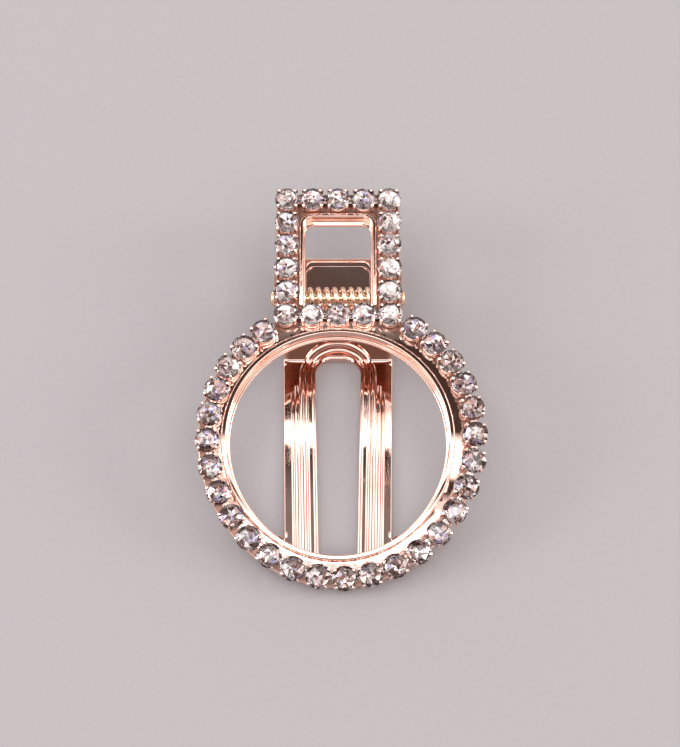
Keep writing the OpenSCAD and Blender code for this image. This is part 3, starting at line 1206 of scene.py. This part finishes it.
@dataclass
class StoneCut:
    """A foiled stone: table, star, main and girdle facets in clear glass over a mosaic of foil facets.

    The foil facets carry painted reflections. warmth is how strong their colours are, the field after it how
    bright they are, and the one after that how many more of them are painted white highlights.
    """

    PAINTED_REFLECTION_LAYER = "painted_facet_reflections"
    # How bright a facet's painted reflection may be, how little of the foil's wave a point may have, the
    # star's height as a share of the crown's, how deep the foil's middle lies, and how many degrees a stone
    # may lean.
    VALUES, LEAST_WAVE, STAR_SHARE, MIDDLE_DROP, MOST_LEAN = (0.8, 1.0), 0.2, 0.56, 0.04, 1.6

    girdle_r: float = 1.66
    table_r: float = 0.92
    star_r: float = 1.27
    girdle_z: float = 1.0
    girdle_h: float = 0.1
    crown_h: float = 0.46
    foil_radii: tuple[float, ...] = (0.56, 1.16)
    foil_rise: tuple[float, ...] = (-0.19, -0.1)
    foil_wave: float = 0.07
    mains: int = 8
    seed: int = 12
    warmth: float = 1.0
    reflection_brightness: float = 1.0
    extra_painted_whites: int = 0
    # Painted highlight: the girdle band's foil faces are always near white, so the stones look bright to
    # their edges.
    painted_edge_highlight: FacetLook = (1.0, 0.98, 0.97, 0.5)

    def tint(self, draw: random.Random) -> FacetLook:
        """The painted reflection of one foil facet.

        Args:
            draw: The stone's own random numbers.

        Returns:
            Its painted reflection colour, and how frosted it is.
        """
        look = draw.choice(PAINTED_FACET_REFLECTIONS + PAINTED_FACET_REFLECTIONS[:3] * self.extra_painted_whites)
        value = draw.uniform(*self.VALUES) * self.reflection_brightness
        grey = sum(look[:3]) / 3
        return (*(value * (grey + (c - grey) * self.warmth) for c in look[:3]), look[3])

    def cut(self, draw: random.Random) -> Skin:
        """Cut one stone.

        Args:
            draw: Random numbers for the foil's facets.

        Returns:
            The stone about its own axis.
        """
        skin = Skin()
        count, half = self.mains, math.pi / self.mains
        top = self.girdle_z + self.girdle_h

        def ring(r: float, z: float, number: int, first: float, wave: float = 0.0) -> list[int]:
            """A ring of points, every one lifted or dropped by up to the wave."""
            points, step = [], 2 * math.pi / number
            for i in range(number):
                turn = first + i * step
                lift = wave * (-1) ** i * draw.uniform(self.LEAST_WAVE, 1.0)
                points.append(Vector((r * math.cos(turn), r * math.sin(turn), z + lift)))
            return skin.loop(points)

        table = ring(self.table_r, top + self.crown_h, count, 0.0)
        star = ring(self.star_r, top + self.crown_h * self.STAR_SHARE, count, half)
        upper = ring(self.girdle_r, top, 2 * count, 0.0)
        lower = ring(self.girdle_r, self.girdle_z, 2 * count, 0.0)
        skin.face(table)
        for i in range(count):
            k = (i + 1) % count
            low, mid, high = upper[2 * i], upper[2 * i + 1], upper[(2 * i + 2) % (2 * count)]
            skin.face((table[i], table[k], star[i]))
            skin.face((table[i], star[i], low, star[i - 1]))
            skin.face((star[i], low, mid))
            skin.face((star[i], mid, high))
        # The girdle band wears the painted edge highlight.
        for i in range(2 * count):
            k = (i + 1) % (2 * count)
            skin.face((upper[i], upper[k], lower[k], lower[i]), 1, self.painted_edge_highlight)
        # The foil facets, each with a painted reflection colour.
        rings = [lower]
        for r, rise in zip(reversed(self.foil_radii), reversed(self.foil_rise)):
            rings.append(ring(r, self.girdle_z + rise, count, draw.uniform(0.0, half), self.foil_wave))
        for outer, inner in zip(rings, rings[1:]):
            for i in range(len(inner)):
                k = (i + 1) % len(inner)
                if len(outer) == len(inner):
                    skin.face((outer[i], outer[k], inner[i]), 1, self.tint(draw))
                    skin.face((outer[k], inner[k], inner[i]), 1, self.tint(draw))
                else:
                    low, mid, high = outer[2 * i], outer[2 * i + 1], outer[(2 * i + 2) % len(outer)]
                    skin.face((low, mid, inner[i]), 1, self.tint(draw))
                    skin.face((mid, high, inner[i]), 1, self.tint(draw))
                    skin.face((high, inner[k], inner[i]), 1, self.tint(draw))
        deepest = self.girdle_z + self.foil_rise[0] - self.MIDDLE_DROP
        middle = skin.loop([Vector((0.0, 0.0, deepest))])[0]
        for i in range(count):
            skin.face((rings[-1][i], rings[-1][(i + 1) % count], middle), 1, self.tint(draw))
        return skin

    def build(self, name: str, seats: Sequence[Matrix], stands_for: str, seed: int) -> None:
        """Set a row of stones.

        Args:
            name: The piece's name.
            seats: Where the stones sit.
            stands_for: The CAD node that the row replaces.
            seed: Starts the row's random numbers.
        """
        draw = random.Random(self.seed + seed)
        skin = Skin()
        for seat in seats:
            lean = Matrix.Rotation(math.radians(draw.uniform(0, self.MOST_LEAN)), 4, "X")
            about = Matrix.Translation((0.0, 0.0, self.girdle_z))
            spin = Matrix.Rotation(draw.uniform(0, 2 * math.pi), 4, "Z")
            skin.stamp(self.cut(draw), seat @ spin @ about @ lean @ about.inverted() @ spin)
        # The foil faces keep their painted reflections in a colour layer.
        piece = skin.build(name, Shading.FACETED, self.PAINTED_REFLECTION_LAYER)
        fit(piece, [CutGlass(), Foil()], Body.UPPER, [stands_for])


@dataclass
class CupChain:
    """The cups that hold the stones, each with four claws, and the links between them."""

    cup_r: float = 1.62
    cup_h: float = 0.9
    wall: float = 0.17
    floor: float = 0.25
    claw_in: float = 1.7
    claw_w: float = 0.42
    claw_t: float = 0.22
    claw_h: float = 1.52
    hook: float = 0.32
    foot_ease: float = 0.16
    brim_ease: float = 0.05
    link_half: float = 0.42
    link_low: float = 0.3
    link_high: float = 0.5
    link_ease: float = 0.06
    link_sunk: float = 0.25
    sides: int = 28

    def cup(self) -> Skin:
        """One cup with its claws."""
        skin = Skin()
        r, bore, h = self.cup_r, self.cup_r - self.wall, self.cup_h
        outside = [(0.0, 0.0, 0.0), (r, 0.0, self.foot_ease), (r, h, self.brim_ease)]
        hollow = [(bore, h, self.brim_ease), (bore, self.floor, 0.0), (0.0, self.floor, 0.0)]
        rings = []
        for radius, z in eased(outside + hollow, 3):
            turns = full_turn(self.sides) if radius else [0.0]
            rings.append(skin.loop(Vector((radius * math.cos(a), radius * math.sin(a), z)) for a in turns))
        for first, second in zip(rings, rings[1:]):
            if len(first) == 1 or len(second) == 1:
                tip, ring = (first[0], second) if len(first) == 1 else (second[0], first)
                for i in range(self.sides):
                    skin.face((tip, ring[i], ring[(i + 1) % self.sides]))
            else:
                skin.bridge(first, second)
        for turn in (45, 135, 225, 315):
            skin.stamp(self.claw(), Matrix.Rotation(math.radians(turn), 4, "Z"))
        return skin

    def claw(self) -> Skin:
        """One claw: a bent strip that narrows to a rounded tip over the stone."""
        base, top = self.claw_in + self.claw_t / 2, self.claw_h
        # How far out and how high its middle is, and its width and thickness as shares.
        line = [
            (self.cup_r - 0.02, 0.12, 1.0, 0.8),
            (base - 0.04, 0.4, 1.0, 1.0),
            (base, 0.8, 1.0, 1.0),
            (base, 1.12, 0.98, 1.0),
            (base - 0.02, top - 0.2, 0.94, 1.0),
            (base - 0.12, top - 0.06, 0.9, 1.0),
            (base - 0.27, top + 0.01, 0.84, 0.96),
            (base - self.hook, top - 0.01, 0.74, 0.8),
            (base - self.hook - 0.08, top - 0.05, 0.46, 0.42),
        ]
        skin = Skin()
        w, t = self.claw_w / 2, self.claw_t / 2
        section = eased([(-w, -t, 0.05), (w, -t, 0.05), (w, t, 0.12), (-w, t, 0.12)], 2)
        loops = []
        for i, (u, z, wide, thick) in enumerate(line):
            ahead, behind = line[min(i + 1, len(line) - 1)], line[max(i - 1, 0)]
            way = Vector((ahead[0] - behind[0], ahead[1] - behind[1])).normalized()
            out = Vector((way.y, -way.x)) * thick
            loops.append(skin.loop(Vector((u + out.x * b, a * wide, z + out.y * b)) for a, b in section))
        skin.rod(loops)
        return skin

    def link(self, first: Matrix, second: Matrix) -> Skin:
        """The strip that joins two neighbouring cups.

        Args:
            first: The first cup's seat.
            second: The second cup's seat.

        Returns:
            The link.
        """
        a, b = first.translation, second.translation
        way = (b - a).normalized()
        side = Vector((-way.y, way.x, 0.0)).normalized()
        up = way.cross(side)
        up = up if up.z > 0 else -up
        skin = Skin()
        half, low, high = self.link_half, self.link_low, self.link_high
        corners = ((-half, low), (half, low), (half, high), (-half, high))
        section = eased([(*corner, self.link_ease) for corner in corners], 2)
        reach = way * (self.cup_r - self.link_sunk)
        ends = [a + reach, b - reach]
        loops = [skin.loop(end + side * s + up * h for s, h in section) for end in ends]
        skin.loft(loops, round_trip=False)
        return skin

    def build(self, name: str, seats: Sequence[Matrix], stands_for: str, closed: bool) -> None:
        """Lay a row of cups.

        Args:
            name: The piece's name.
            seats: Where the cups stand.
            stands_for: The CAD node that the row replaces.
            closed: Whether the row closes on itself.
        """
        skin, cup = Skin(), self.cup()
        for i, seat in enumerate(seats):
            skin.stamp(cup, seat)
            if closed or i:
                skin.stamp(self.link(seats[i - 1], seat), Matrix.Identity(4))
        fit(skin.build(name), [CUP_PLATING], Body.UPPER, [stands_for])


# The lower jaw


@dataclass
class LowerJaw:
    """The U-shaped plate that lies on the table, its ribs, the thumb plate and two ears."""

    # The ribs' crowns: how far off the slot each starts and ends, and its height as a multiple of rib_up.
    RIM_BANDS = ((0.0, 0.5, 0.8),)
    INNER_BANDS = ((0.92, 1.4, 0.8), (1.48, 2.12, 1.7))
    OUTER_BANDS = ((2.2, 2.82, 1.7), (2.9, 3.35, 0.8))
    # Shares of a crown's half width at which it has points, its rise as a share of that, and its edges' drop.
    CROWN_SHARES = (-1.0, -0.97, -0.9, -0.7, -0.45, -0.2, 0.0, 0.2, 0.45, 0.7, 0.9, 0.97, 1.0)
    CROWN_RISE, CROWN_DROP = 0.17, 0.05

    sheet: float = 0.6
    half: float = 7.4
    tip_half: float = 7.0
    slot_half: float = 3.1
    slot_tip_half: float = 2.55
    slot_end: float = 6.6
    slot_tip: float = -23.1
    slot_corner: float = 2.2
    rib_tip: float = -21.8
    rib_up: float = 0.22
    rib_root: float = 0.1
    rib_sink: float = 0.1
    rib_lean: float = 0.38
    fade_start: float = -1.2
    fade_length: float = 4.5
    fade_drop: float = 0.5
    tip_in: float = 13.2
    tip_out: float = 16.4
    tip_angle: float = 36.0
    thumb_half: float = 6.4
    thumb_end: float = 20.7
    thumb_corner: float = 1.5
    panel_half: float = 4.45
    panel_end: float = 19.4
    panel_corner: float = 1.2
    panel_up: float = 0.2
    panel_edge: float = 0.12
    ear_half: float = 2.2
    ear_r: float = 1.5
    ear_foot: float = 4.7
    ear_sunk: float = 0.1
    edge: float = 0.13

    def outline(self) -> list[Point2]:
        """The plate's outer outline, anticlockwise from the tip."""
        inner_y = RING_Y - math.sqrt(self.tip_in**2 - self.tip_half**2)
        start = math.degrees(math.atan2(inner_y - RING_Y, self.tip_half))
        pad_in = arc(0, RING_Y, self.tip_in, start, -90 + self.tip_angle, 4)
        pad_out = arc(0, RING_Y, self.tip_out, -90, -90 + self.tip_angle, 30)
        ear_back, r = PIN_Y + self.ear_half, self.thumb_corner
        thumb = arc(self.thumb_half - r, self.thumb_end - r, r, 0, 90, 8)
        right = pad_out[1:] + list(reversed(pad_in)) + [(self.half, JAW_LINE.bend_y), (self.half, ear_back)]
        right += [(self.thumb_half, ear_back)] + thumb
        return right + [(-x, y) for x, y in reversed(right)]

    def slot(self, grow: float, tip: float, sink: float = 0.0) -> list[Point2]:
        """The slot's outline from its left leg round to its right one, open at the tip.

        Args:
            grow: How far it is grown.
            tip: Where the legs end.
            sink: How much less it is grown over the slot's end, which is then one round arch.

        Returns:
            The open outline.
        """
        half = self.slot_half + grow
        r, rise = self.slot_corner + grow, self.slot_corner + grow - sink
        wide = half if sink else r
        leg_end = self.slot_end - self.slot_corner
        unit_corner = arc(1.0, 0.0, 1.0, 180, 90, 18)[1:]
        corner = [(wide * u - half, leg_end + rise * v) for u, v in unit_corner]
        middle = [] if sink else [(x, leg_end + rise) for x in (-0.6 * (half - r), 0.0)]
        half_way = self.leg(grow, tip) + corner + middle
        return half_way + [(-x, y) for x, y in reversed(half_way[:-1])]

    def leg(self, grow: float, tip: float) -> list[Point2]:
        """The straight left side of the slot, from its tip.

        Args:
            grow: How far the slot is grown.
            tip: Where the side starts.

        Returns:
            The open line.
        """
        half, tip_half = self.slot_half + grow, self.slot_tip_half + grow
        end = self.slot_end - self.slot_corner
        ways = rows_between(tip, end, 0.6)
        return [(-(tip_half + (half - tip_half) * (y - tip) / (end - tip)), y) for y in ways]

    def build(self) -> None:
        """Make the jaw's pieces."""
        fit(self._plate(), [JAW_SHEET], Body.LOWER, ["lower_jaw"])
        for piece in (self._ribs(), self._panel(), self._ears()):
            fit(piece, [JAW_SHEET], Body.LOWER)

    def _rows(self) -> list[float]:
        """Rows across the plate, close together where it bends."""
        low, high, bend, apart = JAW_LINE.bend_y, JAW_LINE.thumb_y, 1.2, 0.3
        spans = (
            (-24.0, low - 0.4, 1.2),
            (low, low + bend, 0.12),
            (low + bend + apart, high - bend - apart, 0.5),
            (high - bend, high, 0.12),
            (high + 0.6, self.thumb_end - 0.4, 1.0),
        )
        return [row for span in spans for row in rows_between(*span)]

    def _plate(self) -> bpy.types.Object:
        """The plate itself, with its slot."""
        skin = Skin()
        outlines = [self.outline(), list(reversed(self.slot(0.0, self.slot_tip)))]
        Plate(outlines, 0.0, self.sheet, self.edge, JAW_LINE.place, self._rows(), 0.8).fill(skin)
        return skin.build("jaw_plate")

    def _ribs(self) -> bpy.types.Object:
        """The pressed ribs beside the slot. The inner two go round its end and the outer two fade out."""
        foot = self.sheet - self.rib_root
        skin = Skin()
        for side in (-1, 1):
            lines = []
            for grow, over, _ in self._profile(self.OUTER_BANDS):
                path = [(-side * x, y) for x, y in self.leg(grow, self.rib_tip)]
                fades = [min(1.0, max(0.0, (y - self.fade_start) / self.fade_length)) for _, y in path]
                overs = [over - self.fade_drop * fade**2 if over > foot else foot for fade in fades]
                lines.append(skin.loop(JAW_LINE.place(*spot, lift) for spot, lift in zip(path, overs)))
            skin.bar(lines)
        for bands, sink in ((self.RIM_BANDS, 0.0), (self.INNER_BANDS, self.rib_sink)):
            lines = []
            for grow, over, off in self._profile(bands):
                reach = self.slot_corner + grow - sink
                path = self.slot(grow, self.rib_tip, sink)
                crests = [max(0.0, (y - self.slot_end + self.slot_corner) / reach) ** 2 for _, y in path]
                overs = [over - off * self.rib_lean * crest for crest in crests]
                lines.append(skin.loop(JAW_LINE.place(*spot, lift) for spot, lift in zip(path, overs)))
            skin.bar(lines)
        return skin.build("jaw_ribs")

    def _profile(self, bands: Sequence[tuple[float, float, float]]) -> list[tuple[float, float, float]]:
        """Some ribs from the end: a foot, their faintly rounded crowns and a foot.

        Args:
            bands: Where each crown starts and ends, and its height.

        Returns:
            For each point, how far it is from the slot, its height, and how far off its crown's middle.
        """
        foot = self.sheet - self.rib_root
        made = [(bands[0][0], foot, 0.0)]
        for start, end, up in bands:
            half, middle, low = (end - start) / 2, (start + end) / 2, self.sheet + up * self.rib_up
            for t in self.CROWN_SHARES:
                drop = self.CROWN_DROP if abs(t) == 1.0 else 0.0
                made.append((middle + half * t, low + half * self.CROWN_RISE * (1 - t * t) - drop, half * t))
        return [*made, (bands[-1][1], foot, 0.0)]

    def _panel(self) -> bpy.types.Object:
        """The raised panel of the thumb plate."""
        skin = Skin()
        outline = rounded_box(self.panel_half, PIN_Y, self.panel_end, self.panel_corner)
        low, high = self.sheet - self.rib_root, self.sheet + self.panel_up
        Plate([outline], low, high, self.panel_edge, JAW_LINE.place).fill(skin)
        return skin.build("thumb_panel")

    def _ears(self) -> bpy.types.Object:
        """The two ears that carry the pin."""
        near, far, foot = PIN_Y - self.ear_half, PIN_Y + self.ear_half, JAW_LINE.thumb_z + self.ear_sunk
        top = arc(PIN_Y, PIN_Z, self.ear_r, 8, 172, 20)
        outline = [(near, foot), (far, foot), (far, self.ear_foot), *top, (near, self.ear_foot)]
        return ear_pair("jaw_ears", outline, self.half)


# Pin and spring


@dataclass
class HingePin:
    """The pin through both pairs of ears, with a domed rivet head at each end."""

    r: float = 0.7
    head_r: float = 1.0
    head_x: float = 8.68
    head_l: float = 0.5
    sides: int = 40

    def build(self) -> None:
        """Make the pin."""
        x, end, r = self.head_x, self.head_x + self.head_l, self.head_r
        half = [(end, 0.0), (end, 0.3), (end - 0.04, 0.55), (end - 0.12, 0.78), (end - 0.24, 0.94)]
        half += [(end - 0.36, r), (x + 0.05, r), (x, r - 0.04), (x, self.r + 0.02), (x - 0.02, self.r)]
        profile = half + [(-a, b) for a, b in reversed(half)]
        skin = Skin()
        turns = full_turn(self.sides)
        loops = [
            skin.loop(Vector((a, PIN_Y + b * math.cos(t), PIN_Z + b * math.sin(t))) for t in turns)
            for a, b in profile
        ]
        skin.loft(loops, round_trip=False)
        fit(skin.build("hinge_pin"), [PIN_PLATING], Body.LOWER, ["pin"])


@dataclass
class TorsionSpring:
    """The spring round the pin, made at rest on neither half. In the real clip its coil winds up as the lever
    is pressed.
    """

    # Shares of a leg at which it has points, from its end to the coil.
    LEG_SHARES = (1.0, 0.985, 0.75, 0.5, 0.25, 0.05)

    coil_r: float = 1.2
    wire_r: float = 0.38
    end_share: float = 0.72
    turns: float = 10.5
    pitch: float = 1.1
    leg: float = 5.2
    leg_tilt: float = 5.0
    top_tilt: float = 9.0
    steps: int = 26
    sides: int = 12

    def line(self) -> list[tuple[Vector, Vector]]:
        """The wire's middle line, from the upper leg's end to the lower one's, with its direction."""
        half = self.turns * self.pitch / 2
        start = math.radians(90 + self.top_tilt)
        end = math.radians(90 + 360 * self.turns - self.leg_tilt)

        def spot(x: float, turn: float, along: float) -> tuple[Vector, Vector]:
            """A place on the coil, or along its tangent."""
            radial = Vector((0.0, math.cos(turn), math.sin(turn)))
            tangent = Vector((0.0, -math.sin(turn), math.cos(turn)))
            return Vector((x, PIN_Y, PIN_Z)) + radial * self.coil_r + tangent * along, tangent

        made = [spot(-half, start, -self.leg * share) for share in self.LEG_SHARES]
        count = round(self.turns * self.steps)
        for share in (i / count for i in range(count + 1)):
            made.append(spot(-half + 2 * half * share, start + (end - start) * share, 0.0))
        return made + [spot(half, end, self.leg * share) for share in reversed(self.LEG_SHARES)]

    def build(self) -> None:
        """Make the spring."""
        skin = Skin()
        line, turns, across = self.line(), full_turn(self.sides), Vector((1.0, 0.0, 0.0))
        loops = []
        for i, (at, way) in enumerate(line):
            up = way.cross(across).normalized()
            r = self.wire_r * (self.end_share if i in (0, len(line) - 1) else 1.0)
            loops.append(skin.loop(at + across * (r * math.cos(t)) + up * (r * math.sin(t)) for t in turns))
        skin.rod(loops)
        piece = fit(skin.build("torsion_spring"), [WIRE_PLATING], None)
        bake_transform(piece)
        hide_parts("spring_coil", "spring_leg")


# Studio


def hung(name: str, data: bpy.types.ID, place: Sequence[float], aim: Sequence[float]) -> bpy.types.Object:
    """Hang a lamp or a camera and turn it to a point.

    Args:
        name: Its name.
        data: The lamp or the camera.
        place: Where it hangs, in millimetres.
        aim: The point that it faces, in millimetres.

    Returns:
        The object.
    """
    made = bpy.data.objects.new(name, data)
    made.location = Vector(place) * MM
    made.rotation_euler = (Vector(aim) * MM - Vector(place) * MM).to_track_quat("-Z", "Y").to_euler()
    bpy.context.scene.collection.objects.link(made)
    return made


@dataclass
class SoftBox:
    """A rectangular studio light that faces the clip."""

    name: str
    place: tuple[float, float, float]
    size: tuple[float, float]
    watts: float
    colour: Colour = (1.0, 1.0, 1.0)

    def build(self) -> None:
        """Hang the light."""
        lamp = bpy.data.lights.new(self.name, "AREA")
        lamp.shape = "RECTANGLE"
        lamp.size, lamp.size_y = (side * MM for side in self.size)
        lamp.energy, lamp.color = self.watts, self.colour
        hung(self.name, lamp, self.place, (0.0, 0.0, 0.0))


@dataclass
class Studio:
    """The pale floor, the soft lights, the surroundings and the camera."""

    # The surroundings' colours from the horizon upwards, and the tone of their lit parts.
    BELT = (
        (0.0, (0.75, 0.7, 0.68)),
        (0.22, (0.6, 0.51, 0.47)),
        (0.4, (0.34, 0.19, 0.14)),
        (0.6, (0.22, 0.14, 0.12)),
        (0.8, (0.11, 0.08, 0.07)),
        (1.0, (0.11, 0.08, 0.07)),
    )
    LIT = (1.0, 0.98, 0.965, 1.0)

    floor_side: float = 6000.0
    view_from: tuple[float, float, float] = (0.0, -118.08, 242.94)
    view_aim: tuple[float, float, float] = (0.0, RING_Y, 7.3)
    lens: float = 96.4
    sensor: float = 36.0
    ring_at: tuple[float, float] = (338.0, 438.8)
    frame: tuple[int, int] = (680, 747)
    lights: list[SoftBox] = field(
        default_factory=lambda: [
            SoftBox("left_box", (-700, -40, 330), (300, 240), 2.2, (0.9, 0.94, 1.0)),
            SoftBox("right_box", (700, 20, 330), (260, 240), 1.9, (1.0, 0.95, 0.9)),
            SoftBox("left_high_box", (-420, 120, 760), (300, 200), 0.75, (0.95, 0.97, 1.0)),
            SoftBox("right_high_box", (420, 120, 760), (300, 200), 0.7, (1.0, 0.97, 0.94)),
            SoftBox("far_box", (-160, 800, 220), (500, 150), 0.8),
            SoftBox("near_box", (0, -310, 850), (420, 160), 0.55),
            SoftBox("high_strip", (0, 389, 836), (300, 11), 0.08, (1.0, 0.98, 0.96)),
        ]
    )

    def floor(self) -> None:
        """Lay the floor."""
        skin = Skin()
        half = self.floor_side / 2
        corners = ((-half, -half), (half, -half), (half, half), (-half, half))
        skin.face(skin.loop(Vector((x, y, 0.0)) for x, y in corners))
        made = skin.build("pale_floor")
        made.data.materials.append(PaleFloor().material())

    def sky(self) -> None:
        """Fill the studio's surroundings: pale near the floor, dim overhead with some lit parts.

        across, along and height are a direction's X, Y and Z, and lean is Y over Z. Glow lies on the near
        side, less two dark cards, patch is nearly overhead, wings are beside it, haze and back beyond it.
        """
        world = bpy.data.worlds.new("studio")
        world.use_nodes = True
        recipe = Recipe(world.node_tree)
        way = recipe.node("ShaderNodeTexCoord").outputs["Generated"]
        parts = recipe.node("ShaderNodeSeparateXYZ", None, {0: way}).outputs
        across, along, height = (Signal(recipe, parts[axis]) for axis in "XYZ")
        lean, spread = along / height, across * across
        sides = (spread * 1.5).clipped() * 1.3 + 0.6
        card = (lean.spot(-0.62, 1.4, 55.0) + lean.spot(-0.165, 1.2, 400.0)) * across.spot(0.0, 1.2, 25.0)
        glow = lean.ramp(-1.4, 4.0) * lean.ramp(0.05 / 6.0, -6.0) * (1.0 - card) * 1.1
        back = lean.ramp(0.8, 6.0) * height.ramp(0.15, 8.0) * 0.7
        patch = lean.spot(-0.065, 1.2, 160.0) * across.spot(0.0, 1.2, 9.0) * 2.4
        wings = spread.ramp(0.008, 40.0) * along.ramp(0.45, -50.0) * (0.5 + along.ramp(0.32, 25.0) * 1.3)
        haze = lean.ramp(0.455, -40.0) * lean.ramp(0.35, 20.0) * 0.2 + lean.ramp(0.5, 12.0) * 0.06
        strength = (glow + patch + wings + haze) * height.ramp(0.4, 6.0) + back
        belt = recipe.node("ShaderNodeValToRGB", {"stops": self.BELT}, {"Fac": height}).outputs["Color"]
        light = recipe.node("ShaderNodeBackground", None, {"Color": belt, "Strength": sides})
        ceiling = recipe.node("ShaderNodeBackground", None, {"Color": self.LIT, "Strength": strength})
        both = recipe.node("ShaderNodeAddShader", None, {0: light.outputs[0], 1: ceiling.outputs[0]})
        recipe.node("ShaderNodeOutputWorld", None, {"Surface": both.outputs[0]})
        bpy.context.scene.world = world

    def camera(self) -> None:
        """Set up the camera at the photograph's angle."""
        lens = bpy.data.cameras.new("camera")
        lens.lens, lens.sensor_width = self.lens, self.sensor
        lens.sensor_fit = "AUTO"
        lens.clip_start, lens.clip_end = 0.01, 20.0
        pixels = max(self.frame)
        lens.shift_x = (self.frame[0] / 2 - self.ring_at[0]) / pixels
        lens.shift_y = (self.ring_at[1] - self.frame[1] / 2) / pixels
        bpy.context.scene.camera = hung("camera", lens, self.view_from, self.view_aim)

    def build(self) -> None:
        """Set up the whole studio."""
        self.camera()
        self.floor()
        self.sky()
        for light in self.lights:
            light.build()
        view = bpy.context.scene.view_settings
        view.view_transform = "Standard"
        view.look = "None"
        view.exposure = 0.0


def main() -> None:
    """Load the frame, dress the clip and light it."""
    logging.basicConfig(level=logging.INFO, format="%(name)s: %(message)s")
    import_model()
    Studio().build()
    UpperSheet().build()
    rows, cups = Rows(), CupChain()
    ring, lever = rows.ring(), rows.lever()
    cups.build("ring_cups", ring, "ring_setting", closed=False)
    cups.build("lever_cups", lever, "lever_setting", closed=True)
    # The foil facets carry painted reflections, dimmer on the ring stones and with more white highlights on
    # the lever's.
    StoneCut(reflection_brightness=0.84).build("ring_row_stones", ring, "ring_stones", 1)
    StoneCut(warmth=0.8, extra_painted_whites=1).build("lever_row_stones", lever, "lever_stones", 2)
    LowerJaw().build()
    HingePin().build()
    TorsionSpring().build()


if __name__ == "__main__":
    main()
